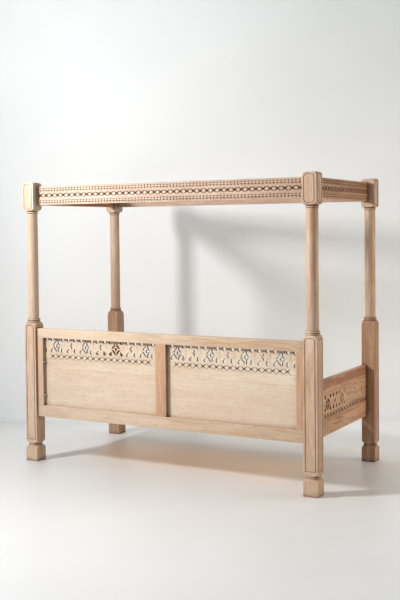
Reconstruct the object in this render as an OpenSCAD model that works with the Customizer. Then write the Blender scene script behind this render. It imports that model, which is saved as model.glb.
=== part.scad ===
// Four-poster canopy daybed in carved hardwood.
// Origin: floor level at the middle of the four posts. +X runs along the length,
// -Y is the side with the tall carved board, +Z is up. Millimetres.

/* [Overall size] */
// Clear length between the two end boards
bay_l = 1967; // [1900:1:2100]
// Clear width between the tall board and the low rail
bay_w = 970; // [900:1:1200]
// Height to the top of the canopy blocks
total_h = 1900; // [1800:10:2100]
// Clear height under the boards
under_h = 310; // [300:5:330]
// Height of the tall board's top edge, where the turned shoulders start
board_top_z = 910; // [900:5:940]
// Height of the end boards' top edge
end_top_z = 652; // [645:1:680]
// Height of the low rail's top edge
low_rail_top_z = 520; // [510:5:540]
// Height of the slats' top face
deck_z = 400; // [395:5:410]

/* [Posts] */
// Width of the square leg
post_w = 90; // [88:1:94]
// Width of the foot block
foot_w = 93; // [92:1:98]
// Height of the foot block
foot_h = 90; // [80:5:95]
// Height at which the square leg starts above the turned neck
leg_start_z = 135; // [130:1:145]
// Radius of the turned neck above the foot
neck_r = 42; // [38:0.5:43]
// Radius of the round column
column_r = 36; // [33:0.5:38]
// Height of the square block at the column's top
block_h = 190; // [185:5:200]
// Width of the square block
block_w = 91; // [90:1:94]
// Distance of the incised panel line from the edges of a face
incise_inset = 11; // [9:0.5:14]
// Width of the incised panel line
incise_w = 5; // [3:0.5:6]
// Depth of the incised panel line
incise_d = 2.5; // [1.5:0.5:4]

/* [Boards and rails] */
// Thickness of the tall board's frame and of the low rail
board_t = 45; // [42:1:48]
// Set-back of the long boards behind the legs' outer faces
face_inset = 16; // [13:1:18]
// Thickness of the end boards
end_t = 33; // [31:1:36]
// Height of the tall board's top member
top_member_h = 62; // [58:1:66]
// Height of the tall board's bottom member
bottom_member_h = 76; // [72:1:84]
// Width of the tall board's outer uprights
stile_w = 50; // [46:1:56]
// Width of the tall board's middle upright
muntin_w = 76; // [66:1:86]
// Thickness of the panels
panel_t = 12; // [11:1:14]
// Set-back of the panels behind the tall board's frame
panel_inset = 24; // [22:1:25]
// Height of the glue line between a panel's carved and plain planks
seam_z = 640; // [620:5:660]
// Height of the canopy rails
canopy_rail_h = 125; // [120:1:130]
// Thickness of the canopy rails
canopy_rail_t = 34; // [30:1:38]
// Set-back of the canopy rails behind the blocks' outer faces
canopy_inset = 44; // [40:1:46]

/* [Carving] */
// Height of the pierced band
fret_h = 103; // [98:1:106]
// Plain margin beyond the centre of a panel's last lozenge
fret_outer_margin = 104; // [102:1:106]
fret_inner_margin = 77; // [74:1:80]
// Depth of the pits in the chain band
pit_d = 5; // [3:0.5:7]

/* [Deck] */
// Width of a slat
slat_w = 90; // [80:1:95]
// Thickness of a slat
slat_t = 20; // [18:1:22]
// Height of the cleats that carry the slats
cleat_h = 40; // [35:1:42]
// Thickness of the cleats
cleat_t = 30; // [26:1:32]

/* [Hidden] */
$fn = 48;
over = 1;

// Corners, as signs along X and Y
front_left = [-1, -1];
front_right = [1, -1];
back_left = [-1, 1];
back_right = [1, 1];
corners = [front_left, front_right, back_left, back_right];

// Post grid
post_x = (bay_l + post_w) / 2;
post_y = (bay_w + 2 * board_t - post_w + 2 * face_inset) / 2;
inner_x = post_x - post_w / 2;
inner_y = post_y - post_w / 2;

// Distances of the long boards' faces from the middle
board_outer_y = post_y + post_w / 2 - face_inset;
board_inner_y = board_outer_y - board_t;
board_mid_y = board_outer_y - board_t / 2;
panel_outer_y = board_outer_y - panel_inset;
panel_inner_y = panel_outer_y - panel_t;
panel_mid_y = panel_outer_y - panel_t / 2;

// Tall board's openings, and the panels' tongues in their grooves
open_bottom_z = under_h + bottom_member_h;
open_top_z = board_top_z - top_member_h;
open_w = (bay_l - 2 * stile_w - muntin_w) / 2;
open_x = (muntin_w + open_w) / 2;
tongue = 8;
groove = 10;
frame_tenon_t = 14;
frame_tenon_l = 22;

// Carved pattern
fret_pitch = (open_w - fret_outer_margin - fret_inner_margin) / 3;
fret_x = open_x - (fret_outer_margin - fret_inner_margin) / 2;
chain_pitch = fret_pitch / 5;
chain_gap = 22;
fret_z = open_top_z - fret_h;
lozenge_y = 0.475 * fret_h;
star_y = 0.53 * fret_h;
drop_r = 10.5;
drop_y = 14;
drop_lean = 18;
notch_y = fret_h - 12;
near_x = 0.18 * fret_pitch;
star_drop_x = 0.12 * fret_pitch;

// End boards: three planks, tenoned into the legs
end_mid_x = inner_x + end_t / 2;
end_outer_x = inner_x + end_t;
end_top_plank_h = 60;
end_fret_gap = 37;
end_carved_top_z = end_top_z - end_top_plank_h;
end_fret_z = end_carved_top_z - end_fret_gap - fret_h;
end_carved_bottom_z = end_fret_z - 2 * chain_gap;
end_tenon_t = 15;
end_tenon_l = 35;
end_tenon_h = 80;
end_tenon_z = [under_h + 16, end_top_z - 27 - end_tenon_h];
end_line_z = [under_h + 22, end_top_z - 24];
line_w = 4;
line_d = 2;

// Heights on the posts
neck_mid_z = (foot_h + leg_start_z) / 2;
shoulder_top_z = board_top_z + 40;
leg_top_z = shoulder_top_z + 25;
leg_corner_r = post_w / sqrt(2);
foot_corner_r = foot_w / sqrt(2);
block_corner_r = block_w / sqrt(2);
turning_clear = 1;
shoulder_r = 44;
block_end_r = 43;
block_z = total_h - block_h;
line_shoulder_r = 24;
leg_line_z = leg_start_z + 12;
leg_line_h = board_top_z + 24 - leg_line_z;
block_line_z = block_z + 8;
block_line_h = block_h - 16;

// Canopy rails and their stub tenons
canopy_top_z = total_h - 26;
canopy_z = canopy_top_z - canopy_rail_h;
canopy_outer_x = post_x + block_w / 2 - canopy_inset;
canopy_outer_y = post_y + block_w / 2 - canopy_inset;
block_inner_x = post_x - block_w / 2;
block_inner_y = post_y - block_w / 2;
canopy_tenon_t = 18;
canopy_tenon_l = 18;
canopy_tenon_h = 90;
canopy_chain_z = canopy_z + canopy_rail_h / 2;
canopy_screw_l = 75;
canopy_screw_in = 12.5;
canopy_screw_sunk = 12;

// Knock-down fittings
stud_r = 5;
stud_l = 120;
dowel_r = 5;
dowel_l = 50;
front_dowel_z = [under_h + bottom_member_h / 2, board_top_z - top_member_h / 2];
low_rail_dowel_z = [under_h + 45, low_rail_top_z - 45];
bolt_z = [456, 684];
bolt_y = board_outer_y - panel_inset / 2;
bolt_r = 4;
bolt_head_r = 6.5;
bolt_head_h = 8;
bolt_l = stile_w + 28;
washer_r = 7.5;
washer_t = 2;
insert_r = 6;
insert_l = 20;
bracket_t = 3;
bracket_h = 80;
bracket_z = 425;
bracket_post_leg = 26;
bracket_rail_leg = 60;
bracket_screw_z = [bracket_z + 20, bracket_z + 60];
bracket_screw_l = 29;

// Slatted deck
slat_count = 14;
cleat_z = deck_z - slat_t - cleat_h;
cleat_l = bay_l - 20;
cleat_screw_x = [for (i = [-3 : 3]) i * cleat_l / 6.6];
slat_l = bay_w - 6;
slat_span = bay_l - slat_w - 60;
slat_pitch = slat_span / (slat_count - 1);
slat_screw_y = board_inner_y - cleat_t / 2;
screw_r = 2;
screw_head_r = 4;
screw_head_h = 2.5;
cleat_screw_l = 50;
slat_screw_l = 40;

// ---- placing and basic shapes ---------------------------------------------

module mirrored(axis, on) {
    if (on)
        mirror(axis)
            children();
    else
        children();
}

// Places a piece drawn about a post's axis, with +X and +Y pointing inward
module at_corner(corner) {
    translate([corner[0] * post_x, corner[1] * post_y, 0])
        mirrored([1, 0, 0], corner[0] > 0)
            mirrored([0, 1, 0], corner[1] > 0)
                children();
}

// Draws a piece of the left half, and its mirror image in the right half
module left_and_right() {
    for (right = [false, true])
        mirrored([1, 0, 0], right)
            children();
}

// Box from its lowest to its highest corner
module box(low, high) {
    translate(low)
        cube(high - low);
}

// Cylinder along +X
module rod_x(start, r, l) {
    translate(start)
        rotate([0, 90, 0])
            cylinder(r = r, h = l);
}

// Countersunk wood screw: its head's face is at the origin and it points down
module screw(l) {
    rotate_extrude($fn = 16)
        polygon([
            [0, 0], [screw_head_r, 0], [screw_r, -screw_head_h],
            [screw_r, 3 - l], [0, -l]
        ]);
}

// Turned ovolo. It starts clear of the square's corner and comes in to a smaller radius
function ovolo(corner_r, r_in, z_out, z_in, steps = 8) = concat(
    [[corner_r + turning_clear, z_out - 0.1 * (z_in - z_out)]],
    [
        for (i = [1 : steps])
            let (a = 90 * i / steps)
                [r_in + (corner_r - r_in) * cos(a), z_out + (z_in - z_out) * sin(a)]
    ]
);

// Half-round bead that reaches radius r between two heights
function bead(r, z_low, z_high, steps = 8) = [
    for (i = [0 : steps])
        let (a = 180 * i / steps - 90, half = (z_high - z_low) / 2)
            [r - half + half * cos(a), z_low + half + half * sin(a)]
];

function reversed(list) = [for (i = [len(list) - 1 : -1 : 0]) list[i]];

// ---- carved patterns, drawn flat ------------------------------------------

module lozenge(half_w, half_h) {
    polygon([[half_w, 0], [0, half_h], [-half_w, 0], [0, -half_h]]);
}

// Four slots around a lozenge-shaped ring, with a small lozenge inside
module lozenge_motif() {
    bridge = 8;
    difference() {
        lozenge(38, 48);
        lozenge(20, 25);
        square([bridge, 100], center = true);
        square([100, bridge], center = true);
    }
    lozenge(10, 13);
}

// Four-pointed star, taller than it is wide
module star_motif() {
    side_tip = 16;
    long_tip = 25;
    waist = 6.5;
    polygon([
        for (i = [0 : 7])
            let (r = i % 2 == 1 ? waist : i % 4 == 0 ? side_tip : long_tip)
                [r * cos(i * 45), r * sin(i * 45)]
    ]);
}

// Drop that leans to one side, for the pierced band's lower edge
module drop(lean) {
    rotate(lean) {
        circle(r = drop_r, $fn = 24);
        polygon([[1.5 - drop_r, 3], [drop_r - 1.5, 3], [0, 2 * drop_r]]);
    }
}

// Notch with a round foot, for the pierced band's upper edge
module notch() {
    circle(r = drop_r, $fn = 24);
    translate([-drop_r, 0])
        square([2 * drop_r, drop_r + 5]);
}

// One drop and one notch, above each other
module drop_and_notch(x, lean) {
    translate([x, drop_y])
        drop(lean);
    translate([x, notch_y])
        notch();
}

// Pierced lozenge with a drop and a notch at each side of it
module lozenge_group() {
    translate([0, lozenge_y])
        lozenge_motif();
    for (side = [-1, 1])
        drop_and_notch(side * near_x, side * drop_lean);
}

// Pierced star with a drop and a notch at each side of it
module star_group() {
    translate([0, star_y])
        star_motif();
    for (side = [-1, 1])
        drop_and_notch(side * star_drop_x, side * drop_lean);
}

// Copies at the pitch of the pierced band, centred on x = 0
module in_row(count) {
    for (i = [0 : count - 1])
        translate([(i - (count - 1) / 2) * fret_pitch, 0])
            children();
}

// Holes of the pierced band, from y = 0 up, centred on x = 0
module fret(lozenges, stars) {
    in_row(lozenges)
        lozenge_group();
    in_row(stars)
        star_group();
}

// Pierced band of one plank of the tall board, with one more drop at its outer end
module front_fret(side) {
    fret(4, 3);
    drop_and_notch(side * (2 * fret_pitch - star_drop_x), -side * drop_lean);
}

// Pits where the links of the chain meet, centred on the origin
module chain(length) {
    count = floor((length / 2 - 12) / chain_pitch);
    for (i = [-count : count])
        translate([i * chain_pitch, 0])
            lozenge(10, 11);
}

// Stands a flat pattern up and sinks it into a face that looks along -Y
module sunk(face_y, depth) {
    translate([0, face_y + depth, 0])
        rotate([90, 0, 0])
            linear_extrude(depth + over)
                children();
}

// Rectangle from y = 0 to h with rounded upper corners
module round_top(w, h, r) {
    translate([-w / 2, 0])
        square([w, h - r]);
    translate([r - w / 2, h - r - over])
        square([w - 2 * r, r + over]);
    for (side = [-1, 1])
        translate([side * (w / 2 - r), h - r])
            circle(r = r);
}

// Rectangle from y = 0 to h with four rounded corners
module round_both(w, h, r) {
    intersection() {
        round_top(w, h, r);
        translate([0, h])
            mirror([0, 1])
                round_top(w, h, r);
    }
}

// ---- posts ----------------------------------------------------------------

module leg_incision() {
    w = post_w - 2 * incise_inset;
    translate([0, 0, leg_line_z])
        sunk(-post_w / 2, incise_d)
            difference() {
                round_top(w, leg_line_h, line_shoulder_r);
                translate([0, incise_w])
                    round_top(w - 2 * incise_w, leg_line_h - 2 * incise_w, line_shoulder_r - incise_w);
            }
}

module block_incision() {
    w = block_w - 2 * incise_inset;
    translate([0, 0, block_line_z])
        sunk(-block_w / 2, incise_d)
            difference() {
                round_both(w, block_line_h, line_shoulder_r);
                translate([0, incise_w])
                    round_both(w - 2 * incise_w, block_line_h - 2 * incise_w, line_shoulder_r - incise_w);
            }
}

// The same incision on both outward faces of a post
module on_outward_faces() {
    children();
    rotate(-90)
        children();
}

// Turned shape that cuts back the square leg's corners at the neck and the shoulder
module leg_turning() {
    rotate_extrude($fn = 96)
        polygon(concat(
            [
                [0, 0], [foot_corner_r + turning_clear, 0],
                [foot_corner_r + turning_clear, foot_h - turning_clear], [neck_r, neck_mid_z - 5]
            ],
            bead(neck_r + 3, neck_mid_z - 4, neck_mid_z + 4),
            [[neck_r, neck_mid_z + 5], [leg_corner_r + turning_clear, leg_start_z + turning_clear]],
            ovolo(leg_corner_r, shoulder_r, board_top_z, shoulder_top_z),
            bead(shoulder_r, shoulder_top_z, shoulder_top_z + 10),
            bead(shoulder_r, shoulder_top_z + 13, shoulder_top_z + 23),
            [[column_r, leg_top_z - 2], [column_r, leg_top_z], [0, leg_top_z]]
        ));
}

module front_leg_holes() {
    for (z = bolt_z) {
        rod_x([post_w / 2 - insert_l, post_y - bolt_y, z], insert_r, insert_l + over);
        rod_x([post_w / 2 + stile_w - bolt_l, post_y - bolt_y, z], bolt_r, bolt_l);
    }
    for (z = front_dowel_z)
        rod_x([post_w / 2 - dowel_l / 2, post_y - board_mid_y, z], dowel_r, dowel_l);
}

module back_leg_holes() {
    for (z = low_rail_dowel_z)
        rod_x([post_w / 2 - dowel_l / 2, post_y - board_mid_y, z], dowel_r, dowel_l);
    for (z = bracket_screw_z)
        translate([post_w / 2 + bracket_t, post_y - board_inner_y + bracket_post_leg / 2, z])
            rotate([0, 90, 0])
                screw(bracket_screw_l);
}

module leg(corner) {
    color("burlywood")
        at_corner(corner)
            difference() {
                intersection() {
                    union() {
                        box([-foot_w / 2, -foot_w / 2, 0], [foot_w / 2, foot_w / 2, neck_mid_z]);
                        box([-post_w / 2, -post_w / 2, 0], [post_w / 2, post_w / 2, leg_top_z]);
                    }
                    leg_turning();
                }
                on_outward_faces()
                    leg_incision();
                for (z = end_tenon_z)
                    box(
                        [post_x - end_mid_x - end_tenon_t / 2, post_w / 2 - end_tenon_l, z],
                        [post_x - end_mid_x + end_tenon_t / 2, post_w / 2 + over, z + end_tenon_h]
                    );
                translate([0, 0, leg_top_z - stud_l / 2])
                    cylinder(r = stud_r, h = stud_l);
                if (corner[1] < 0)
                    front_leg_holes();
                else
                    back_leg_holes();
            }
}

// Turned shape of the round column with its square block's rounded corners
module column_turning() {
    rotate_extrude($fn = 96)
        polygon(concat(
            [[0, leg_top_z], [column_r, leg_top_z], [column_r, block_z - 22]],
            bead(column_r + 4.5, block_z - 18, block_z - 4),
            reversed(ovolo(block_corner_r, block_end_r, block_z + 24, block_z)),
            ovolo(block_corner_r, block_end_r, total_h - 19, total_h),
            [[0, total_h]]
        ));
}

// Screw down through the block into each rail's tenon, in the post's inward frame
module canopy_screw_places() {
    along_rail = block_w / 2 - canopy_screw_in;
    across_rail = post_y - canopy_outer_y + canopy_rail_t / 2;
    for (place = [[along_rail, across_rail], [across_rail, along_rail]])
        translate([place[0], place[1], total_h - canopy_screw_sunk])
            children();
}

module column(corner) {
    half = block_w / 2;
    rail_mid = post_y - canopy_outer_y + canopy_rail_t / 2;
    tenon_z = canopy_chain_z - canopy_tenon_h / 2;
    color("tan")
        at_corner(corner)
            difference() {
                intersection() {
                    box([-half, -half, leg_top_z], [half, half, total_h]);
                    column_turning();
                }
                on_outward_faces()
                    block_incision();
                box(
                    [half - canopy_tenon_l, rail_mid - canopy_tenon_t / 2, tenon_z],
                    [half + over, rail_mid + canopy_tenon_t / 2, tenon_z + canopy_tenon_h]
                );
                box(
                    [rail_mid - canopy_tenon_t / 2, half - canopy_tenon_l, tenon_z],
                    [rail_mid + canopy_tenon_t / 2, half + over, tenon_z + canopy_tenon_h]
                );
                translate([0, 0, leg_top_z - stud_l / 2])
                    cylinder(r = stud_r, h = stud_l);
                canopy_screw_places() {
                    screw(canopy_screw_l);
                    cylinder(r = screw_head_r, h = canopy_screw_sunk + over, $fn = 16);
                }
            }
}

module column_studs() {
    color("silver")
        for (corner = corners)
            translate([corner[0] * post_x, corner[1] * post_y, leg_top_z - stud_l / 2])
                cylinder(r = stud_r, h = stud_l);
}

// ---- tall front board -----------------------------------------------------

// Groove that takes the tongues of both panels, above and below the openings
module panel_grooves() {
    for (side = [-1, 1])
        translate([side * open_x, 0, 0])
            box(
                [-open_w / 2 - groove, -panel_outer_y, open_bottom_z - groove],
                [open_w / 2 + groove, -panel_inner_y, open_top_z + groove]
            );
}

// Tenons of an upright, from its left to its right side
module upright_tenons(x_left, x_right) {
    box(
        [x_left, -panel_mid_y - frame_tenon_t / 2, open_bottom_z - frame_tenon_l],
        [x_right, -panel_mid_y + frame_tenon_t / 2, open_top_z + frame_tenon_l]
    );
}

module all_upright_tenons() {
    upright_tenons(groove + 4 - muntin_w / 2, muntin_w / 2 - groove - 4);
    left_and_right()
        upright_tenons(8 - inner_x, stile_w - groove - 4 - inner_x);
}

module front_member(z_low, z_high, dowel_z) {
    color("wheat")
        difference() {
            box([-inner_x, -board_outer_y, z_low], [inner_x, -board_inner_y, z_high]);
            panel_grooves();
            all_upright_tenons();
            left_and_right()
                rod_x([-inner_x - over, -board_mid_y, dowel_z], dowel_r, dowel_l / 2 + over);
        }
}

module front_top_member() {
    front_member(open_top_z, board_top_z, front_dowel_z[1]);
}

module front_bottom_member() {
    color("wheat")
        difference() {
            front_member(under_h, open_bottom_z, front_dowel_z[0]);
            cleat_screw_places(-1)
                screw(cleat_screw_l);
        }
}

module front_stile(right) {
    color("wheat")
        mirrored([1, 0, 0], right)
            difference() {
                union() {
                    box(
                        [-inner_x, -board_outer_y, open_bottom_z],
                        [stile_w - inner_x, -board_inner_y, open_top_z]
                    );
                    upright_tenons(8 - inner_x, stile_w - groove - 4 - inner_x);
                }
                panel_grooves();
                for (z = bolt_z)
                    rod_x([-inner_x - over, -bolt_y, z], bolt_r, stile_w + 2 * over);
            }
}

module front_muntin() {
    color("wheat")
        difference() {
            union() {
                box(
                    [-muntin_w / 2, -board_outer_y, open_bottom_z],
                    [muntin_w / 2, -board_inner_y, open_top_z]
                );
                upright_tenons(groove + 4 - muntin_w / 2, muntin_w / 2 - groove - 4);
            }
            panel_grooves();
        }
}

// Board of a panel between two heights, with its tongues at both sides
module panel_board(side, z_low, z_high) {
    translate([side * open_x, 0, 0])
        box(
            [-open_w / 2 - tongue, -panel_outer_y, z_low],
            [open_w / 2 + tongue, -panel_inner_y, z_high]
        );
}

module carved_plank(side) {
    color("antiquewhite")
        difference() {
            panel_board(side, seam_z, open_top_z + tongue);
            translate([side * fret_x, 0, fret_z])
                sunk(-panel_outer_y, panel_t + over)
                    front_fret(side);
            translate([side * open_x, 0, fret_z - chain_gap])
                sunk(-panel_outer_y, pit_d)
                    chain(open_w);
        }
}

module plain_plank(side) {
    color("blanchedalmond")
        panel_board(side, open_bottom_z - tongue, seam_z);
}

// ---- fittings of the tall board -------------------------------------------

// Draws on the four bolts' axes, with +X out of the leg and x = 0 at the leg's face
module on_bolt_axes() {
    left_and_right()
        for (z = bolt_z)
            translate([-inner_x, -bolt_y, z])
                children();
}

module front_bolts() {
    head_x = stile_w + washer_t;
    color("silver")
        on_bolt_axes()
            difference() {
                union() {
                    rod_x([stile_w - bolt_l, 0, 0], bolt_r, bolt_l + washer_t);
                    rod_x([head_x, 0, 0], bolt_head_r, bolt_head_h);
                }
                translate([head_x + bolt_head_h / 2, 0, 0])
                    rotate([0, 90, 0])
                        cylinder(r = 3.5, h = bolt_head_h, $fn = 6);
            }
}

module front_washers() {
    color("silver")
        on_bolt_axes()
            difference() {
                rod_x([stile_w, 0, 0], washer_r, washer_t);
                rod_x([stile_w - over, 0, 0], bolt_r, washer_t + 2 * over);
            }
}

module front_inserts() {
    color("goldenrod")
        on_bolt_axes()
            difference() {
                rod_x([-insert_l, 0, 0], insert_r, insert_l);
                rod_x([-insert_l - over, 0, 0], bolt_r, insert_l + 2 * over);
            }
}

module board_dowels() {
    color("peru")
        left_and_right() {
            for (z = front_dowel_z)
                rod_x([-inner_x - dowel_l / 2, -board_mid_y, z], dowel_r, dowel_l);
            for (z = low_rail_dowel_z)
                rod_x([-inner_x - dowel_l / 2, board_mid_y, z], dowel_r, dowel_l);
        }
}

// ---- end boards -----------------------------------------------------------

// Turns what is drawn on a front face to the right end
module on_right_end() {
    rotate(90)
        children();
}

module incised_line(z, length) {
    translate([0, 0, z])
        sunk(-end_outer_x, line_d)
            square([length, line_w], center = true);
}

// Plank of an end board with its share of the tenons
module end_plank(z_low, z_high) {
    box([inner_x, -inner_y, z_low], [end_outer_x, inner_y, z_high]);
    for (z = end_tenon_z)
        if (z < z_high && z + end_tenon_h > z_low)
            box(
                [end_mid_x - end_tenon_t / 2, -inner_y - end_tenon_l, max(z, z_low)],
                [end_mid_x + end_tenon_t / 2, inner_y + end_tenon_l, min(z + end_tenon_h, z_high)]
            );
}

module end_top_plank(right) {
    color("tan")
        mirrored([1, 0, 0], !right)
            difference() {
                end_plank(end_carved_top_z, end_top_z);
                on_right_end()
                    incised_line(end_line_z[1], 2 * inner_y + 2 * over);
            }
}

module end_carved_plank(right) {
    color("burlywood")
        mirrored([1, 0, 0], !right)
            difference() {
                end_plank(end_carved_bottom_z, end_carved_top_z);
                on_right_end()
                    translate([0, 0, end_fret_z]) {
                        sunk(-end_outer_x, end_t + over)
                            fret(3, 4);
                        translate([0, 0, -chain_gap])
                            sunk(-end_outer_x, pit_d)
                                chain(2 * inner_y);
                    }
            }
}

module end_bottom_plank(right) {
    color("tan")
        mirrored([1, 0, 0], !right)
            difference() {
                end_plank(under_h, end_carved_bottom_z);
                on_right_end()
                    incised_line(end_line_z[0], 2 * inner_y + 2 * over);
            }
}

// ---- low rail -------------------------------------------------------------

// Places of the bracket screws in the low rail, pointing along +Y
module rail_screw_places() {
    left_and_right()
        for (x = [20, 45], z = bracket_screw_z)
            translate([x - inner_x, board_inner_y - bracket_t, z])
                rotate([90, 0, 0])
                    children();
}

// Places of the bracket screws in the back legs
module leg_screw_places() {
    left_and_right()
        for (z = bracket_screw_z)
            translate([bracket_t - inner_x, board_inner_y - bracket_post_leg / 2, z])
                rotate([0, 90, 0])
                    children();
}

module low_rail() {
    color("tan")
        difference() {
            box([-inner_x, board_inner_y, under_h], [inner_x, board_outer_y, low_rail_top_z]);
            left_and_right()
                for (z = low_rail_dowel_z)
                    rod_x([-inner_x - over, board_mid_y, z], dowel_r, dowel_l / 2 + over);
            rail_screw_places()
                screw(bracket_screw_l);
            cleat_screw_places(1)
                screw(cleat_screw_l);
            rotate(180)
                translate([0, 0, (under_h + low_rail_top_z) / 2])
                    sunk(-board_outer_y, pit_d)
                        chain(bay_l);
        }
}

module low_rail_brackets() {
    color("dimgray")
        difference() {
            left_and_right() {
                box(
                    [-inner_x, board_inner_y - bracket_post_leg, bracket_z],
                    [bracket_t - inner_x, board_inner_y, bracket_z + bracket_h]
                );
                box(
                    [-inner_x, board_inner_y - bracket_t, bracket_z],
                    [bracket_rail_leg - inner_x, board_inner_y, bracket_z + bracket_h]
                );
            }
            rail_screw_places()
                screw(bracket_screw_l);
            leg_screw_places()
                screw(bracket_screw_l);
        }
}

module bracket_screws() {
    color("silver") {
        rail_screw_places()
            screw(bracket_screw_l);
        leg_screw_places()
            screw(bracket_screw_l);
    }
}

// ---- canopy ---------------------------------------------------------------

// Rail along X on the front side, from half its clear length and its outer face's distance
module canopy_rail(half_l, outer) {
    mid = outer - canopy_rail_t / 2;
    difference() {
        union() {
            box([-half_l, -outer, canopy_z], [half_l, canopy_rail_t - outer, canopy_top_z]);
            box(
                [-half_l - canopy_tenon_l, -mid - canopy_tenon_t / 2, canopy_chain_z - canopy_tenon_h / 2],
                [half_l + canopy_tenon_l, -mid + canopy_tenon_t / 2, canopy_chain_z + canopy_tenon_h / 2]
            );
        }
        translate([0, 0, canopy_chain_z])
            sunk(-outer, pit_d)
                chain(2 * half_l);
        left_and_right()
            translate([-half_l - canopy_screw_in, -mid, total_h - canopy_screw_sunk])
                screw(canopy_screw_l);
    }
}

module canopy_long_rail(back) {
    color("wheat")
        rotate(back ? 180 : 0)
            canopy_rail(block_inner_x, canopy_outer_y);
}

module canopy_short_rail(right) {
    color("wheat")
        rotate(right ? 90 : -90)
            canopy_rail(block_inner_y, canopy_outer_x);
}

module canopy_screws() {
    color("silver")
        for (corner = corners)
            at_corner(corner)
                canopy_screw_places()
                    screw(canopy_screw_l);
}

// ---- slatted deck ---------------------------------------------------------

// Places of the cleat's screws: side -1 is the tall board, 1 is the low rail
module cleat_screw_places(side) {
    for (x = cleat_screw_x)
        translate([x, side * (board_inner_y - cleat_t), cleat_z + cleat_h / 2])
            rotate([side * 90, 0, 0])
                children();
}

// Places of the slats' screws, pointing down
module slat_screw_places(side) {
    for (i = [0 : slat_count - 1])
        translate([i * slat_pitch - slat_span / 2, side * slat_screw_y, deck_z])
            children();
}

module cleat(side) {
    y_near = side * (board_inner_y - cleat_t);
    y_far = side * board_inner_y;
    color("peru")
        difference() {
            box(
                [-cleat_l / 2, min(y_near, y_far), cleat_z],
                [cleat_l / 2, max(y_near, y_far), cleat_z + cleat_h]
            );
            cleat_screw_places(side)
                screw(cleat_screw_l);
            slat_screw_places(side)
                screw(slat_screw_l);
        }
}

module cleat_screws() {
    color("silver")
        for (side = [-1, 1])
            cleat_screw_places(side)
                screw(cleat_screw_l);
}

module slat(number) {
    x = (number - 1) * slat_pitch - slat_span / 2;
    color("peru")
        difference() {
            box([x - slat_w / 2, -slat_l / 2, deck_z - slat_t], [x + slat_w / 2, slat_l / 2, deck_z]);
            for (side = [-1, 1])
                translate([x, side * slat_screw_y, deck_z])
                    screw(slat_screw_l);
        }
}

module slat_screws() {
    color("silver")
        for (side = [-1, 1])
            slat_screw_places(side)
                screw(slat_screw_l);
}

// ---- the assembly ---------------------------------------------------------

leg(front_left);  // leg_front_left
leg(front_right);  // leg_front_right
leg(back_left);  // leg_back_left
leg(back_right);  // leg_back_right
column(front_left);  // column_front_left
column(front_right);  // column_front_right
column(back_left);  // column_back_left
column(back_right);  // column_back_right
column_studs();
front_top_member();
front_bottom_member();
front_stile(false);  // front_left_stile
front_stile(true);  // front_right_stile
front_muntin();
carved_plank(-1);  // left_carved_plank
carved_plank(1);  // right_carved_plank
plain_plank(-1);  // left_plain_plank
plain_plank(1);  // right_plain_plank
front_bolts();
front_washers();
front_inserts();
board_dowels();
end_top_plank(false);  // left_end_top_plank
end_carved_plank(false);  // left_end_carved_plank
end_bottom_plank(false);  // left_end_bottom_plank
end_top_plank(true);  // right_end_top_plank
end_carved_plank(true);  // right_end_carved_plank
end_bottom_plank(true);  // right_end_bottom_plank
low_rail();
low_rail_brackets();
bracket_screws();
canopy_long_rail(false);  // canopy_front_rail
canopy_long_rail(true);  // canopy_back_rail
canopy_short_rail(false);  // canopy_left_rail
canopy_short_rail(true);  // canopy_right_rail
canopy_screws();
cleat(-1);  // front_cleat
cleat(1);  // back_cleat
cleat_screws();
slat(1);  // slat_1
slat(2);  // slat_2
slat(3);  // slat_3
slat(4);  // slat_4
slat(5);  // slat_5
slat(6);  // slat_6
slat(7);  // slat_7
slat(8);  // slat_8
slat(9);  // slat_9
slat(10);  // slat_10
slat(11);  // slat_11
slat(12);  // slat_12
slat(13);  // slat_13
slat(14);  // slat_14
slat_screws();
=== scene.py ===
"""Looks of the carved four-poster canopy daybed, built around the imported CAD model. Metres."""

import math
import random

import bmesh
import bpy
from mathutils import Matrix, Vector
from mathutils.geometry import delaunay_2d_cdt


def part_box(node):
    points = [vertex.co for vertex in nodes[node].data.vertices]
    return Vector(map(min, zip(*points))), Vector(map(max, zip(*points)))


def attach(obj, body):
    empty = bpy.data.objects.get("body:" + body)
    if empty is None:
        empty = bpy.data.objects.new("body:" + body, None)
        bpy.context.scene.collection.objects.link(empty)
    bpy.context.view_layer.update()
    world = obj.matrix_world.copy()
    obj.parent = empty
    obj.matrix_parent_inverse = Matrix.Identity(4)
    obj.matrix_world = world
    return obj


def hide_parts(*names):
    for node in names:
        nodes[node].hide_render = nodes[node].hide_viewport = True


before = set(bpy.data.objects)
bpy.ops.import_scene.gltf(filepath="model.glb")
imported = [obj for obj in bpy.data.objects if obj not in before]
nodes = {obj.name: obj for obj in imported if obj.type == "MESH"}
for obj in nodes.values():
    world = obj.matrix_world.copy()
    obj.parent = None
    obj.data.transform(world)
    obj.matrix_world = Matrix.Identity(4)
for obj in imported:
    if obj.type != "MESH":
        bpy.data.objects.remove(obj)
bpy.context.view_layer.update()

MM = 0.001


# ---- sizes that follow from the frame ---------------------------------------------------

# Width of the square legs, and of the plank edge that sits in the frame's grooves.
POST_W = 90 * MM
TONGUE = 8 * MM

# Thickness of the carved end boards, planks and canopy rails.
END_T = 33 * MM
PANEL_T = 12 * MM
CANOPY_RAIL_T = 34 * MM

# From the outer and the inner end of an opening in the tall board to the nearest lozenge.
OUTER_MARGIN = 104 * MM
INNER_MARGIN = 77 * MM

# The post's place gives the clear lengths of the rails between the posts.
post_low, post_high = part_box("leg_back_right")
post = (post_low + post_high) / 2
inner_x = post.x - POST_W / 2
inner_y = post.y - POST_W / 2
plank_low, plank_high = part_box("left_carved_plank")
open_w = plank_high.x - plank_low.x - 2 * TONGUE


# ---- layout of the carved bands, in millimetres -----------------------------------------

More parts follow.
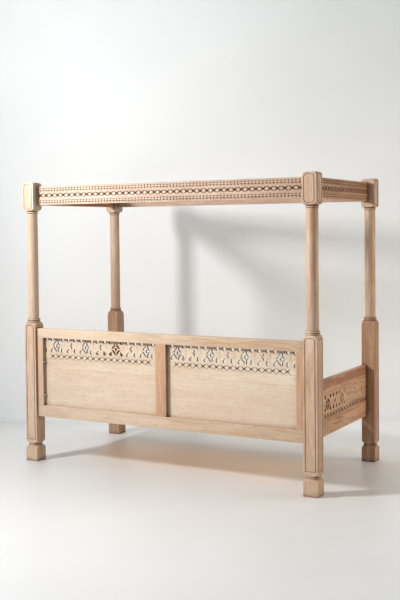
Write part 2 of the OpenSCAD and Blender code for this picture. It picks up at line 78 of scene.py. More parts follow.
# Pierced fret. U is measured along the band from a motif's middle, V up from the lower edge.
FRET_H = 103
FRET_PITCH = (open_w - OUTER_MARGIN - INNER_MARGIN) / 3 / MM
LOZENGE_V = 0.475 * FRET_H
STAR_V = 0.53 * FRET_H
LOZENGE_DROP_U = 0.18 * FRET_PITCH
STAR_DROP_U = 0.12 * FRET_PITCH
PALMETTE_U = 0.28 * FRET_PITCH
PALMETTE_V = 34
DROP_R = 10.5
DROP_V = 14
DROP_LEAN = 18
NOTCH_V = FRET_H - 12

# Carved chain, and how far its middle is below the fret.
CHAIN_PITCH = FRET_PITCH / 5
CHAIN_GAP = 22
CHAIN_END = 24
CHAIN_DEPTH = 4.5
CHAIN_DOT_V = 16.6
CHAIN_BORDER_V = 19

# Bands of small leaves on the canopy, and the fine lines beside all bands.
LEAF_PITCH = CHAIN_PITCH / 2
LEAF_END = 18
LINE_W = 1.8
LINE_DEPTH = 0.7

# Heights of bands and lines over the middle of a rail.
CANOPY_LEAF_V = (41.5, -39)
CANOPY_BORDER_V = (-56, -22, 22, 58)
LOW_RAIL_BORDER_V = 21

# Numbers of the materials on a carved plate: its faces, the sides of its holes, its sunk chips.
WOOD, SIDE, PIT = 0, 1, 2


# ---- flat outlines, in millimetres ------------------------------------------------------


def lozenge(half_w, half_h):
    return [(half_w, 0), (0, half_h), (-half_w, 0), (0, -half_h)]


def arc(radius, start, end, steps):
    """Points on a circle about the origin, from one angle to another, in degrees."""
    angles = [math.radians(start + (end - start) * i / steps) for i in range(steps + 1)]
    return [(radius * math.cos(a), radius * math.sin(a)) for a in angles]


def drop_outline():
    """Round foot with a pointed top."""
    return [(0, 21)] + arc(DROP_R, 157, 383, 14)


def notch_outline():
    """Round foot with a square top."""
    return [(DROP_R, 11), (-DROP_R, 11)] + arc(DROP_R, 180, 360, 12)


def star_outline(side_tip=16, long_tip=25, waist=6.5):
    """Four-pointed star, taller than it is wide."""
    radii = [side_tip, waist, long_tip, waist] * 2
    turn = math.pi / 4
    return [(r * math.cos(i * turn), r * math.sin(i * turn)) for i, r in enumerate(radii)]


def four_fold(arm, waist):
    """Outline of a cross from its upper right arm and the height of its waist."""
    upper = arm + [(0, waist)] + [(-x, y) for x, y in reversed(arm)]
    return upper + [(x, -y) for x, y in reversed(upper[1:-1])]


def cross_outline():
    """X with four thin arms that bend over towards the next cross."""
    arm = [(6.5, 0), (11, 5.5), (16, 9.8), (21.8, 12), (21.8, 14.8), (13.5, 13), (5.5, 7.5)]
    return four_fold(arm, 4)


def link_outline():
    """X with four curved arms that reach round the pale oval links beside it."""
    arm = [(9, 0), (12.5, 5), (17.5, 8), (22.4, 9.4), (22.4, 14.2), (14, 13.6), (6, 9)]
    return four_fold(arm, 6)


def leaf_outline(length, half_w, steps=6):
    """Pointed leaf that stands on the origin."""
    rise = [i / steps for i in range(1, steps)]
    right = [(half_w * math.sin(math.pi * t), length * t) for t in rise]
    left = [(-x, y) for x, y in reversed(right)]
    return [(0, 0)] + right + [(0, length)] + left


def quarter_slot(bridge=8, outer=(38, 48), inner=(20, 25)):
    """One of the four slots round a lozenge, in the upper right quarter."""
    half = bridge / 2

    def edge(size, x=None, y=None):
        if y is None:
            return (x, size[1] * (1 - x / size[0]))
        return (size[0] * (1 - y / size[1]), y)

    return [edge(inner, y=half), edge(outer, y=half), edge(outer, x=half), edge(inner, x=half)]


def moved(loop, u, v, lean=0.0, flip_u=1, flip_v=1):
    """The loop mirrored, turned by lean degrees and moved."""
    c, s = math.cos(math.radians(lean)), math.sin(math.radians(lean))
    flipped = [(x * flip_u, y * flip_v) for x, y in loop]
    return [(u + c * x - s * y, v + s * x + c * y) for x, y in flipped]


def counter_clockwise(loop):
    area = sum(a[0] * b[1] - b[0] * a[1] for a, b in zip(loop, loop[1:] + loop[:1]))
    return loop if area > 0 else loop[::-1]


def grown(loop, by):
    """The outline moved outward by a distance, with its corners kept sharp."""
    out = []
    for i, here in enumerate(loop):
        before, after = Vector(loop[i - 1]), Vector(loop[(i + 1) % len(loop)])
        here = Vector(here)
        first, second = (here - before).normalized(), (after - here).normalized()
        n1, n2 = Vector((first.y, -first.x)), Vector((second.y, -second.x))
        reach = (n1 + n2) / max(1 + n1.dot(n2), 0.45)
        out.append(tuple(here + by * reach))
    return out


def shrunk(loop, share_u, share_v, lean=0.0):
    """The outline scaled about its middle, along axes turned by lean degrees."""
    centre = sum((Vector(p) for p in loop), Vector((0, 0))) / len(loop)
    turn = Matrix.Rotation(math.radians(lean), 2)
    back = turn.transposed()
    out = []
    for p in loop:
        local = back @ (Vector(p) - centre)
        out.append(tuple(centre + turn @ Vector((local.x * share_u, local.y * share_v))))
    return out


# ---- carved features --------------------------------------------------------------------


def hole(loop):
    return {"loop": counter_clockwise(loop), "depth": None, "tone": SIDE}


def pit(loop, depth, share_u=0.15, share_v=0.15, lean=0.0, tone=PIT):
    """A sunk chip: its walls slope down to a small floor."""
    loop = counter_clockwise(loop)
    floor = shrunk(loop, share_u, share_v, lean)
    return {"loop": loop, "depth": depth, "floor": floor, "tone": tone}


def leaf_pit(u, v, lean, length, half_w, depth, tone=PIT):
    return pit(moved(leaf_outline(length, half_w), u, v, lean), depth, 0.12, 0.7, lean, tone)


def border_line(v, length, stop=2):
    """A straight V groove along a rail of the given length, that stops short of both its ends."""
    half_u, half_v = length / 2 - stop, LINE_W / 2
    loop = [(-half_u, -half_v), (half_u, -half_v), (half_u, half_v), (-half_u, half_v)]
    return pit(moved(loop, 0, v), LINE_DEPTH, 1 - LINE_W / half_u, 0.1, 0.0, SIDE)


def lozenge_motif(u, v):
    found = [
        hole(moved(quarter_slot(), u, v, 0, fu, fv)) for fu in (-1, 1) for fv in (-1, 1)
    ]
    return found + [hole(moved(lozenge(10, 13), u, v))]


def star_motif(u, v):
    return [hole(moved(star_outline(), u, v))]


def palmette(u, v):
    """Three leaves fanned out over a small stem."""
    leaves = [leaf_pit(u + side * 3, v, -side * 40, 23, 3.2, 1.2, WOOD) for side in (-1, 1)]
    middle_leaf = leaf_pit(u, v + 2, 0, 34, 3.8, 1.4, WOOD)
    stem = pit(moved(lozenge(3.2, 8), u, v - 15), 1.2, tone=WOOD)
    return leaves + [middle_leaf, stem]


def drop_and_notch(u, v, lean_side):
    """A drop that leans to one side, -1 or 1, and the notch over it."""
    drop = hole(moved(drop_outline(), u, v + DROP_V, lean_side * DROP_LEAN))
    notch = hole(moved(notch_outline(), u, v + NOTCH_V))
    return [drop, notch]


def fret(middle, v, lozenges, stars):
    """The pierced band, centred on middle, with its lower edge at v."""
    found = []
    for i in range(lozenges):
        u = middle + (i - (lozenges - 1) / 2) * FRET_PITCH
        found += lozenge_motif(u, v + LOZENGE_V)
        for side in (-1, 1):
            found += drop_and_notch(u + side * LOZENGE_DROP_U, v, side)
            found += palmette(u + side * PALMETTE_U, v + PALMETTE_V)
    for i in range(stars):
        u = middle + (i - (stars - 1) / 2) * FRET_PITCH
        found += star_motif(u, v + STAR_V)
        for side in (-1, 1):
            found += drop_and_notch(u + side * STAR_DROP_U, v, side)
    return found


def chain(v, length, outline):
    """Carved chain: deep crosses where the pale oval links meet, and a row of dots beside them."""
    found = []
    count = math.floor((length / 2 - CHAIN_END) / CHAIN_PITCH)
    for i in range(-count, count + 1):
        u = i * CHAIN_PITCH
        found.append(pit(moved(outline, u, v), CHAIN_DEPTH))
        if i < count:
            for side in (-1, 1):
                dot = moved(lozenge(3.6, 1.2), u + CHAIN_PITCH / 2, v + side * CHAIN_DOT_V)
                found.append(pit(dot, 1.5))
    return found


def running_leaves(v, length):
    """A dense fine band of leaves that slant both ways, with two rows of chips between them."""
    found = []
    count = math.floor((length / 2 - LEAF_END) / LEAF_PITCH)
    chip = [(-3.4, 0), (3.4, 0), (0, 4.6)]
    for i in range(-count, count + 1):
        u = i * LEAF_PITCH
        found.append(leaf_pit(u + 6, v - 14, 50, 17, 4.4, 3.5))
        found.append(leaf_pit(u - 6, v + 0.5, -50, 15, 3.8, 3.0))
        found.append(pit(moved(lozenge(4.0, 3.0), u + 12.4, v - 7), 2.0))
        found.append(pit(moved(chip, u - 11, v + 5), 2.0))
    return found


# ---- carved plates ----------------------------------------------------------------------


def facing(direction):
    """Matrix from a plate's own axes (along, up, out of its face) to the row frame."""
    out = Vector(direction)
    up = Vector((0, 0, 1))
    along = up.cross(out)
    return Matrix((along, up, out)).transposed()


def rectangle(u_low, v_low, u_high, v_high, inset=0.0):
    a, b = u_low + inset, v_low + inset
    c, d = u_high - inset, v_high - inset
    return [(a, b), (c, b), (c, d), (a, d)]


def carved_mesh(rect, thickness, features, arris=0.8, hole_arris=1.1):
    """bmesh of a plate with chamfered edges, in millimetres, with its face at w = 0."""
    bm = bmesh.new()

    def loop_verts(loop, w):
        return [bm.verts.new((u, v, w)) for u, v in loop]

    def band(lower, upper, material):
        for i in range(len(lower)):
            j = (i + 1) % len(lower)
            face = bm.faces.new((lower[i], lower[j], upper[j], upper[i]))
            face.material_index = material

    def surface(outer, loops, w, upward):
        """Fills the flat surface between outer and the loops, and returns their vertices."""
        points = [Vector(p) for p in outer]
        members = []
        for loop in loops:
            start = len(points)
            points += [Vector(p) for p in loop]
            members.append(list(range(start, len(points))))
        made, _, triangles, sources, _, owners = delaunay_2d_cdt(points, [], members, 0, 1e-5)
        if len(made) != len(points):
            raise ValueError("carved features overlap or touch")
        place = {old: new for new, olds in enumerate(sources) for old in olds}
        verts = [bm.verts.new((p.x, p.y, w)) for p in made]
        for corners, owner in zip(triangles, owners):
            if not owner:
                order = corners if upward else corners[::-1]
                bm.faces.new([verts[k] for k in order])
        found = [[verts[place[i]] for i in member] for member in members]
        return [verts[place[i]] for i in range(len(outer))], found

    holes = [f for f in features if f["depth"] is None]
    pits = [f for f in features if f["depth"] is not None]
    open_front = [grown(f["loop"], hole_arris) for f in holes]
    rim = rectangle(*rect, inset=arris)
    front_edge, front_loops = surface(rim, open_front + [f["loop"] for f in pits], 0, True)
    back_edge, back_loops = surface(rim, open_front, -thickness, False)
    side_front = loop_verts(rectangle(*rect), -arris)
    side_back = loop_verts(rectangle(*rect), arris - thickness)
    band(side_front, front_edge, WOOD)
    band(side_back, side_front, WOOD)
    band(back_edge, side_back, WOOD)
    for f, front, back in zip(holes, front_loops, back_loops):
        near = loop_verts(f["loop"], -hole_arris)
        far = loop_verts(f["loop"], hole_arris - thickness)
        band(front, near, WOOD)
        band(near, far, SIDE)
        band(far, back, SIDE)
    for f, front in zip(pits, front_loops[len(holes):]):
        floor = loop_verts(f["floor"], -f["depth"])
        band(front, floor, f["tone"])
        bm.faces.new(floor).material_index = f["tone"]
    return bm


def carved_plate(
    name, node, direction, face, centre_u, z_low, rect, thickness, features, materials
):
    """Puts a carved plate in the frame in place of a CAD node.

    face is the distance of its face from the origin along direction, centre_u the place of u = 0
    along it, and z_low the height of v = 0."""
    bm = carved_mesh(rect, thickness / MM, features)
    turn = facing(direction)
    along = turn @ Vector((1, 0, 0))
    origin = Vector(direction) * face + along * centre_u + Vector((0, 0, z_low))
    bm.transform(Matrix.Translation(origin) @ turn.to_4x4() @ Matrix.Scale(MM, 4))
    bmesh.ops.triangulate(bm, faces=[f for f in bm.faces if len(f.verts) > 4])
    mesh = bpy.data.meshes.new(name)
    bm.to_mesh(mesh)
    bm.free()
    piece = bpy.data.objects.new(name, mesh)
    bpy.context.scene.collection.objects.link(piece)
    for material in materials:
        mesh.materials.append(material)
    mesh.shade_smooth()
    mesh.set_sharp_from_angle(angle=math.radians(32))
    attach(piece, "root")
    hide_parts(node)
    return piece


# ---- materials --------------------------------------------------------------------------


class Nodes:
    """Small helper that adds shader nodes and joins them up."""

    def __init__(self, tree):
        self.tree = tree

    def add(self, kind, settings=None, **inputs):
        made = self.tree.nodes.new("ShaderNode" + kind)
        for key, value in (settings or {}).items():
            setattr(made, key, value)
        for key, value in inputs.items():
            self.put(made, key, value)
        return made

    def put(self, made, key, value):
        socket = made.inputs[int(key[1:])] if key[0] == "_" else made.inputs[key.replace("_", " ")]
        if isinstance(value, bpy.types.NodeSocket):
            self.tree.links.new(value, socket)
        else:
            socket.default_value = value

    def maths(self, operation, a, b=0.0):
        return self.add("Math", {"operation": operation}, _0=a, _1=b).outputs[0]

    def vector(self, operation, a, b):
        return self.add("VectorMath", {"operation": operation}, _0=a, _1=b).outputs[0]

    def noise(self, vector, scale, detail=2.0, roughness=0.5, distortion=0.0):
        return self.add(
            "TexNoise", Vector=vector, Scale=scale, Detail=detail,
            Roughness=roughness, Distortion=distortion,
        ).outputs["Fac"]

    def spread(self, value, low, high, to_low=0.0, to_high=1.0):
        made = self.add("MapRange", {"interpolation_type": "SMOOTHSTEP"}, Value=value)
        made.inputs["From Min"].default_value = low
        made.inputs["From Max"].default_value = high
        made.inputs["To Min"].default_value = to_low
        made.inputs["To Max"].default_value = to_high
        return made.outputs[0]

    def blend(self, share, a, b, how="MIX"):
        made = self.add("Mix", {"data_type": "RGBA", "blend_type": how})
        self.put(made, "_0", share)
        self.put(made, "_6", a)
        self.put(made, "_7", b)
        return made.outputs[2]


def new_material(name, roughness=0.5, metallic=0.0):
    material = bpy.data.materials.new(name)
    material.use_nodes = True
    tree = material.node_tree
    shader = tree.nodes["Principled BSDF"]
    shader.inputs["Metallic"].default_value = metallic
    shader.inputs["Roughness"].default_value = roughness
    return material, Nodes(tree), shader


def colour(r, g, b):
    """Linear colour from the familiar 0 to 255 scale."""
    def linear(c):
        c /= 255
        return c / 12.92 if c <= 0.04045 else ((c + 0.055) / 1.055) ** 2.4

    return (linear(r), linear(g), linear(b), 1.0)


# Noise is drawn out along the grain, given as an axis.
STRETCH = {"X": (0.09, 1, 1), "Y": (1, 0.09, 1), "Z": (1, 1, 0.09)}
# Brown of the pores and the glaze, also used for painted shade; pale tone of worn edges, also used
# for painted highlight.
GLAZE_AND_SHADE_BROWN = colour(72, 38, 20)
PALE_WEAR_AND_HIGHLIGHT = colour(240, 227, 210)


def wood(name, pale, deep, grain, seed, extra_glaze_and_shade=0.0, corner_glaze_and_shade=1.0, fade=None):
    """Waxed hardwood: rings, fibres, pores and patches; paler rounded edges, partly wear and
    partly painted highlight; dark glaze in the corners that is also painted shade; and an optional
    fade of painted light.
    """
    material, n, shader = new_material(name)

    # Each piece is cut from its own place in the timber.
    rng = random.Random(seed)
    shift = tuple(rng.uniform(-9, 9) for _ in range(3))
    place = n.add("TexCoord").outputs["Object"]
    place = n.vector("ADD", place, shift)
    drift = n.add("TexNoise", Vector=place, Scale=1.7, Detail=2.0).outputs["Color"]
    drift = n.vector("MULTIPLY", drift, (0.12, 0.12, 0.12))
    warped = n.vector("ADD", place, drift)

    # Noises drawn out along the grain.
    long = n.vector("MULTIPLY", warped, STRETCH[grain])
    thin = n.vector("MULTIPLY", long, tuple(0.35 if s < 1 else 1 for s in STRETCH[grain]))
    rings = n.noise(long, 34, 3.0, 0.55, 1.1)
    bands = n.noise(long, 9, 2.0, 0.5, 0.4)
    fibres = n.noise(thin, 310, 3.0, 0.6)
    pores = n.spread(n.noise(thin, 620, 1.0), 0.60, 0.70)
    patches = n.noise(place, 2.6, 2.0)

    # Colour of the bare wood.
    figure = n.maths("ADD", n.maths("MULTIPLY", rings, 0.5), n.maths("MULTIPLY", bands, 0.5))
    body = n.blend(n.spread(figure, 0.36, 0.64), deep, pale)
    body = n.blend(n.spread(fibres, 0.35, 0.7, 0.0, 0.30), body, deep)
    body = n.blend(n.maths("MULTIPLY", pores, 0.35), body, GLAZE_AND_SHADE_BROWN)
    body = n.blend(n.spread(patches, 0.3, 0.7, 0.0, 0.34), body, deep)

    # Darker in the corners and recesses, by ambient occlusion: a dark glaze that is also painted
    # shade. Paler along the rounded edges: wear and painted highlight.
    near = n.add("AmbientOcclusion", {"samples": 4}, Distance=0.014).outputs["AO"]
    wide = n.add("AmbientOcclusion", {"samples": 4}, Distance=0.045).outputs["AO"]
    corner_glaze_and_shade_mask = n.maths(
        "MAXIMUM",
        n.spread(near, 0.2, 0.7, 0.6 * corner_glaze_and_shade, 0.0),
        n.spread(wide, 0.38, 0.86, 0.8 * corner_glaze_and_shade, 0.0),
    )
    rounded = n.add("Bevel", {"samples": 4}, Radius=0.003).outputs["Normal"]
    flat = n.add("NewGeometry").outputs["Normal"]
    even = n.add("VectorMath", {"operation": "DOT_PRODUCT"}, _0=rounded, _1=flat).outputs["Value"]
    # Pale edges: wear, and painted highlight where the rounded edges catch the light.
    worn_and_highlit_edges = n.maths("MULTIPLY", n.spread(even, 0.90, 0.99, 0.75, 0.0), n.spread(near, 0.75, 0.95))
    body = n.blend(worn_and_highlit_edges, body, PALE_WEAR_AND_HIGHLIGHT)
    body = n.blend(corner_glaze_and_shade_mask, body, GLAZE_AND_SHADE_BROWN)
    # Darkening given by the caller: painted shade on hole sides and in fine grooves, and a dark
    # glaze that is also painted shade in the sunk chips.
    if extra_glaze_and_shade:
        body = n.blend(extra_glaze_and_shade, body, GLAZE_AND_SHADE_BROWN)
    # Painted light: paler towards where the lamp falls more strongly, along one axis.
    if fade:
        axis, start, end, amount = fade
        along = n.add("SeparateXYZ", Vector=n.add("TexCoord").outputs["Object"]).outputs[axis]
        body = n.blend(n.spread(along, start, end, 0.0, amount), body, PALE_WEAR_AND_HIGHLIGHT)
    n.put(shader, "Base Color", body)
    n.put(shader, "Roughness", n.spread(n.maths("ADD", fibres, corner_glaze_and_shade_mask), 0.2, 1.4, 0.42, 0.72))

    # Relief of the grain, and softly rounded edges.
    height = n.maths("ADD", n.maths("MULTIPLY", fibres, 0.5), n.maths("MULTIPLY", rings, 0.5))
    height = n.maths("SUBTRACT", height, n.maths("MULTIPLY", pores, 0.6))
    bump = n.add("Bump", Strength=0.35, Distance=0.0008, Height=height, Normal=rounded)
    n.put(shader, "Normal", bump.outputs["Normal"])
    return material


def metal(name, tone, dark, roughness):
    """Plated or blackened metal with fine scratches and dull patches."""
    material, n, shader = new_material(name, roughness, 1.0)
    place = n.add("TexCoord").outputs["Object"]
    scratches = n.noise(n.vector("MULTIPLY", place, (0.2, 1, 1)), 900, 2.0)
    dull = n.noise(place, 140, 4.0, 0.6)
    n.put(shader, "Base Color", n.blend(n.spread(dull, 0.35, 0.75), tone, dark))
    n.put(shader, "Roughness", n.spread(dull, 0.3, 0.8, roughness, roughness + 0.25))
    bump = n.add("Bump", Strength=0.25, Distance=0.0002, Height=scratches)
    n.put(shader, "Normal", bump.outputs["Normal"])
    return material


# ---- finishes of the nodes --------------------------------------------------------------

# Pale and deep tone of each kind of piece.
LEG_TONES = (colour(221, 199, 178), colour(190, 158, 131))
# The back legs are the same wood as the front ones, darker as painted shade.
SHADED_BACK_LEG_TONES = (colour(201, 173, 150), colour(171, 136, 108))
COLUMN_TONES = (colour(216, 196, 176), colour(184, 155, 130))
MEMBER_TONES = (colour(213, 195, 173), colour(189, 161, 134))
STILE_TONES = (colour(211, 178, 149), colour(183, 145, 114))
PANEL_TONES = (colour(219, 204, 186), colour(209, 190, 168))
END_TONES = (colour(222, 188, 155), colour(166, 124, 92))
CANOPY_TONES = (colour(189, 167, 146), colour(164, 132, 107))
CANOPY_END_TONES = (colour(205, 170, 134), colour(167, 124, 90))
DECK_TONES = (colour(222, 196, 156), colour(190, 156, 116))
DOWEL_TONES = (colour(226, 198, 158), colour(196, 162, 120))

# Fades of painted light to the pale tone: the left end, nearer the lamp, paler, and the sides of
# the far holes in the end boards paler where light comes through them. Axis, where it starts and
# ends, and its greatest share.
LAMP_SIDE_HIGHLIGHT = ("X", 0.45, -1.0, 0.26)
COLUMN_LAMP_SIDE_HIGHLIGHT = ("X", 0.45, -1.0, 0.12)
LIT_FAR_HOLE_SIDES = ("Y", -0.25, 0.2, 0.95)

EDGE = 1.2 * MM
SLATS = 14


def finish(node, material, edge=0.0):
    """Gives a CAD node its material and slot, and softens its edges by the given width."""
    piece = nodes[node]
    piece.data.materials.clear()
    piece.data.materials.append(material)
    if edge:
        weld = piece.modifiers.new("weld", "WELD")
        weld.merge_threshold = 0.00001
        bevel = piece.modifiers.new("soft edges", "BEVEL")
        bevel.width = edge
        bevel.segments = 2
        bevel.limit_method = "ANGLE"
        bevel.angle_limit = math.radians(40)
        bevel.harden_normals = True


for seed, name in enumerate(sorted(nodes), start=1):
    if name.startswith("leg_front"):
        finish(name, wood(name + "_wood", *LEG_TONES, "Z", seed))
    elif name.startswith("leg_back"):
        finish(name, wood(name + "_wood", *SHADED_BACK_LEG_TONES, "Z", seed))
    elif name.startswith("column_") and name != "column_studs":
        column_wood = wood(name + "_wood", *COLUMN_TONES, "Z", seed, fade=COLUMN_LAMP_SIDE_HIGHLIGHT)
        finish(name, column_wood)
    elif name == "front_top_member":
        rail_wood = wood(name + "_wood", *MEMBER_TONES, "X", seed, fade=LAMP_SIDE_HIGHLIGHT)
        finish(name, rail_wood, EDGE)
    elif name == "front_bottom_member":
        rail_wood = wood(name + "_wood", *MEMBER_TONES, "X", seed, corner_glaze_and_shade=0.4, fade=LAMP_SIDE_HIGHLIGHT)
        finish(name, rail_wood, EDGE)
    elif name in ("front_left_stile", "front_right_stile", "front_muntin"):
        stile_wood = wood(name + "_wood", *STILE_TONES, "Z", seed, fade=LAMP_SIDE_HIGHLIGHT)
        finish(name, stile_wood, EDGE)
    elif name.endswith("_plain_plank"):
        finish(name, wood(name + "_wood", *PANEL_TONES, "X", seed, corner_glaze_and_shade=0.3), EDGE)
    elif name.endswith(("_end_top_plank", "_end_bottom_plank")):
        finish(name, wood(name + "_wood", *END_TONES, "Y", seed), EDGE)

deck_wood = wood("deck_wood", *DECK_TONES, "Y", 101)
cleat_wood = wood("cleat_wood", *DECK_TONES, "X", 102)
for i in range(1, SLATS + 1):
    finish(f"slat_{i}", deck_wood, EDGE)
for name in ("front_cleat", "back_cleat"):
    finish(name, cleat_wood, EDGE)
finish("board_dowels", wood("dowel_wood", *DOWEL_TONES, "X", 103))

zinc = metal("zinc_steel", colour(214, 214, 212), colour(160, 160, 156), 0.28)
black = metal("dark_steel", colour(70, 68, 66), colour(40, 38, 36), 0.45)
brass = metal("brass", colour(212, 176, 104), colour(160, 120, 62), 0.32)
for name in ("column_studs", "front_bolts", "front_washers", "bracket_screws", "canopy_screws",
             "cleat_screws", "slat_screws"):
    finish(name, zinc)
finish("low_rail_brackets", black)
finish("front_inserts", brass)


# ---- carved pieces ----------------------------------------------------------------------


def plate_woods(name, tones, grain, seed, side_painted_shade, pit_glaze_and_shade, corner_glaze_and_shade=1.0, fade=None,
                side_fade=None):
    """Materials of a carved plate, in the order WOOD, SIDE, PIT."""
    return [
        wood(name + "_wood", *tones, grain, seed, corner_glaze_and_shade=corner_glaze_and_shade, fade=fade),
        # The SIDE material, on hole sides and in fine grooves, is darkened as painted shade, and
        # the fade given for it is painted light; the PIT material, in sunk chips, takes a dark
        # glaze that is also painted shade.
        wood(name + "_side", *tones, grain, seed, side_painted_shade, fade=side_fade),
        wood(name + "_pit", *tones, grain, seed, pit_glaze_and_shade),
    ]


def front_carved_plank(side, seed):
    node = side + "_carved_plank"
    low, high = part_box(node)
    centre = (low.x + high.x) / 2
    half = (high.x - low.x) / 2 / MM
    height = (high.z - low.z) / MM
    fret_v = height - TONGUE / MM - FRET_H
    chain_v = fret_v - CHAIN_GAP
    visible = open_w / MM
    outer = -1 if side == "left" else 1
    middle = -outer * (OUTER_MARGIN - INNER_MARGIN) / 2 / MM
    last_drop = middle + outer * (2 * FRET_PITCH - STAR_DROP_U)
    features = fret(middle, fret_v, lozenges=4, stars=3)
    features += chain(chain_v, visible, cross_outline())
    features += drop_and_notch(last_drop, fret_v, -outer)
    features.append(border_line(chain_v - CHAIN_BORDER_V, visible, stop=3))
    plate = carved_plate(
        node + "_carving", node, (0, -1, 0), -low.y, centre, low.z,
        (-half, 0, half, height), PANEL_T, features,
        plate_woods(node, PANEL_TONES, "X", seed, side_painted_shade=0.5, pit_glaze_and_shade=0.66, corner_glaze_and_shade=0.6),
    )


def end_carved_plank(side, sign, seed):
    node = side + "_end_carved_plank"
    low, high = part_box(node)
    half = inner_y / MM
    height = (high.z - low.z) / MM
    face = max(abs(low.x), abs(high.x))
    fret_v = 2 * CHAIN_GAP
    features = fret(0, fret_v, lozenges=3, stars=4)
    features += chain(CHAIN_GAP, 2 * half, cross_outline())
    features.append(border_line(CHAIN_GAP - CHAIN_BORDER_V, 2 * half))
    woods = plate_woods(
        node, END_TONES, "Y", seed, side_painted_shade=0.2, pit_glaze_and_shade=0.8, side_fade=LIT_FAR_HOLE_SIDES
    )
    plate = carved_plate(
        node + "_carving", node, (sign, 0, 0), face, 0, low.z,
        (-half, 0, half, height), END_T, features, woods,
    )


def canopy_rail(side, direction, tones, seed, fade=None):
    node = f"canopy_{side}_rail"
    low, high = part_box(node)
    axis = 0 if direction[0] else 1
    face = max(abs(low[axis]), abs(high[axis]))
    block_low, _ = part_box("column_back_right")
    half = block_low[1 - axis] / MM
    height = (high.z - low.z) / MM
    length = 2 * half
    middle_v = height / 2
    features = chain(middle_v, length, link_outline())
    for v in CANOPY_LEAF_V:
        features += running_leaves(middle_v + v, length)
    for v in CANOPY_BORDER_V:
        features.append(border_line(middle_v + v, length))
    grain = "Y" if axis == 0 else "X"
    plate = carved_plate(
        node + "_carving", node, direction, face, 0, low.z,
        (-half, 0, half, height), CANOPY_RAIL_T, features,
        plate_woods(node, tones, grain, seed, side_painted_shade=0.3, pit_glaze_and_shade=0.88, fade=fade),
    )


def low_rail(seed):
    low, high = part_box("low_rail")
    half = inner_x / MM
    height = (high.z - low.z) / MM
    features = chain(height / 2, 2 * half, link_outline())
    for v in (-LOW_RAIL_BORDER_V, LOW_RAIL_BORDER_V):
        features.append(border_line(height / 2 + v, 2 * half))
    plate = carved_plate(
        "low_rail_carving", "low_rail", (0, 1, 0), high.y, 0, low.z,
        (-half, 0, half, height), high.y - low.y, features,
        plate_woods("low_rail", END_TONES, "X", seed, side_painted_shade=0.2, pit_glaze_and_shade=0.7),
    )


front_carved_plank("left", 201)
front_carved_plank("right", 202)
end_carved_plank("left", -1, 203)
end_carved_plank("right", 1, 204)
canopy_rail("front", (0, -1, 0), CANOPY_TONES, 205, LAMP_SIDE_HIGHLIGHT)
canopy_rail("back", (0, 1, 0), CANOPY_TONES, 206)
canopy_rail("left", (-1, 0, 0), CANOPY_END_TONES, 207)
canopy_rail("right", (1, 0, 0), CANOPY_END_TONES, 208)
low_rail(209)


# ---- camera -----------------------------------------------------------------------------

camera = bpy.data.objects.new("camera", bpy.data.cameras.new("camera"))
bpy.context.scene.collection.objects.link(camera)
# Lens in millimetres, place in metres and turns in degrees.
camera.data.lens = 59.36
camera.data.sensor_width = 36
camera.data.shift_y = -0.0518
camera.location = (3.2545, -5.8630, 1.5685)
TURN, TILT, ROLL = (math.radians(a) for a in (29.036, -2.251, -0.557))
camera_turn = (
    Matrix.Rotation(TURN, 3, "Z")
    @ Matrix.Rotation(math.pi / 2 + TILT, 3, "X")
    @ Matrix.Rotation(ROLL, 3, "Z")
)
camera.rotation_euler = camera_turn.to_euler()
bpy.context.scene.camera = camera


# ---- studio -----------------------------------------------------------------------------

UP = Vector((0, 0, 1))
ahead = Vector((-math.sin(TURN), math.cos(TURN), 0))
across = Vector((math.cos(TURN), math.sin(TURN), 0))


def plain(name, left, right, roughness, see_through_back=False):
    """Matt paint with a faint mottle, whose tone changes slowly from the left to the right: the
    change is painted light, brighter where the lamps fall more strongly.
    """
    material, n, shader = new_material(name, roughness)
    place = n.add("TexCoord").outputs["Object"]
    projected = n.add("VectorMath", {"operation": "DOT_PRODUCT"}, _0=place, _1=across)
    sideways = projected.outputs["Value"]
    tone = n.blend(n.spread(sideways, -3.5, 4.5), left, right)
    mottle = n.spread(n.noise(place, 1.3, 3.0), 0.3, 0.7, 0.97, 1.0)
    grey = n.add("CombineColor", _0=mottle, _1=mottle, _2=mottle).outputs[0]
    n.put(shader, "Base Color", n.blend(1.0, tone, grey, "MULTIPLY"))
    if see_through_back:
        behind = n.add("NewGeometry").outputs["Backfacing"]
        clear = n.add("BsdfTransparent").outputs[0]
        mixed = n.add("MixShader", _0=behind, _1=shader.outputs[0], _2=clear)
        n.tree.links.new(mixed.outputs[0], n.tree.nodes["Material Output"].inputs["Surface"])
    return material


def stage_sheet(name, corners, material):
    mesh = bpy.data.meshes.new(name)
    mesh.from_pydata(corners, [], [(0, 1, 2, 3)])
    mesh.materials.append(material)
    piece = bpy.data.objects.new(name, mesh)
    bpy.context.scene.collection.objects.link(piece)
    return piece


# The wall stands square to the view, at this distance from the camera.
WALL_DISTANCE = 8.15
WALL_HEIGHT = 9
FLOOR_REACH = 30
floor_corners = [(-FLOOR_REACH, -FLOOR_REACH, 0), (FLOOR_REACH, -FLOOR_REACH, 0),
                 (FLOOR_REACH, FLOOR_REACH, 0), (-FLOOR_REACH, FLOOR_REACH, 0)]
# The floor is painted a little brighter to the right, as painted light.
floor_paint = plain("floor_paint", colour(218, 219, 219), colour(223, 225, 225), 0.4)
floor = stage_sheet("floor", floor_corners, floor_paint)

wall_foot = Vector((camera.location.x, camera.location.y, 0)) + WALL_DISTANCE * ahead
wall_corners = [wall_foot - FLOOR_REACH * across, wall_foot + FLOOR_REACH * across]
wall_corners += [c + WALL_HEIGHT * UP for c in reversed(wall_corners)]
# The wall is painted brighter to the left, nearer the key lamp, as painted light.
wall_paint = plain(
    "wall_paint", colour(238, 240, 241), colour(222, 226, 227), 0.9, see_through_back=True
)
wall = stage_sheet("wall", wall_corners, wall_paint)


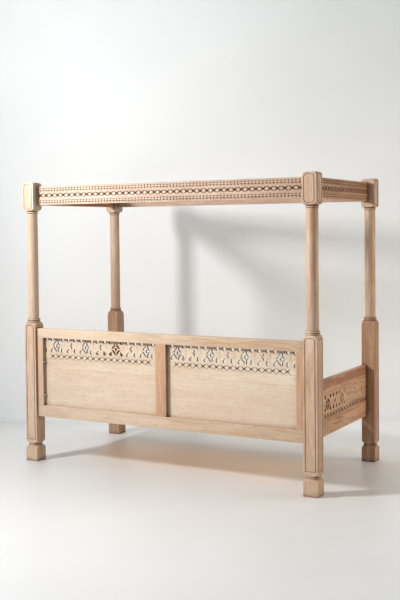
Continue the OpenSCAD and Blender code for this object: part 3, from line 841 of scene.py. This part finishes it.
def lamp(name, place, aim, size, energy, tone):
    """Soft rectangular lamp that no camera sees, with its size in metres and energy in watts."""
    data = bpy.data.lights.new(name, "AREA")
    data.shape = "RECTANGLE"
    data.size, data.size_y = size
    data.energy = energy
    data.color = tone
    made = bpy.data.objects.new(name, data)
    made.location = place
    made.rotation_euler = (Vector(aim) - Vector(place)).to_track_quat("-Z", "Y").to_euler()
    made.visible_camera = False
    bpy.context.scene.collection.objects.link(made)
    return made


def shine_only_on(light, sheet):
    """The light falls on one sheet, and nothing shades it."""
    lit = bpy.data.collections.new(light.name + "_lit")
    lit.objects.link(sheet)
    light.light_linking.receiver_collection = lit
    light.light_linking.blocker_collection = lit


lamp("key", (-2.13, -2.95, 2.67), (2.20, -1.82, 3.35), (0.60, 0.60), 262, (1.0, 0.99, 0.985))
lamp("fill", (3.40, 0.90, 1.30), (1.00, 0.00, 0.80), (1.20, 1.20), 28, (1.0, 0.80, 0.62))

wash_place = wall_foot - 2.6 * ahead - 0.7 * across + 0.9 * UP
wall_wash = lamp(
    "wall_wash", wash_place, wash_place + ahead, (4.5, 1.0), 23, (0.98, 1.0, 1.01)
)
shine_only_on(wall_wash, wall)

glow_place = wall_foot - 0.7 * ahead - 0.5 * across + 1.3 * UP
floor_wash = lamp("floor_wash", glow_place, glow_place - UP, (5.0, 0.8), 13, (1.0, 1.0, 1.0))
floor_wash.rotation_euler.z = TURN
shine_only_on(floor_wash, floor)

# Stands for the warm light that the wood throws back on the floor under the bed.
bounce_place = Vector((0, 0, 0.17))
bounce = lamp("wood_bounce", bounce_place, bounce_place - UP, (1.6, 0.6), 0.85, (1.0, 0.5, 0.15))
shine_only_on(bounce, floor)


def studio_light(cool, warm, strength):
    """Even light from all round, a little warmer from the right."""
    world = bpy.data.worlds.new("studio")
    world.use_nodes = True
    n = Nodes(world.node_tree)
    direction = n.add("TexCoord").outputs["Generated"]
    sideways = n.add("SeparateXYZ", Vector=direction).outputs["X"]
    background = world.node_tree.nodes["Background"]
    n.put(background, "Color", n.blend(n.spread(sideways, -0.3, 0.9), cool, warm))
    background.inputs["Strength"].default_value = strength
    bpy.context.scene.world = world


studio_light((0.95, 0.98, 1.01, 1), (1.10, 1.08, 1.05, 1), 0.51)
bpy.context.scene.view_settings.view_transform = "Standard"
bpy.context.scene.view_settings.gamma = 0.82
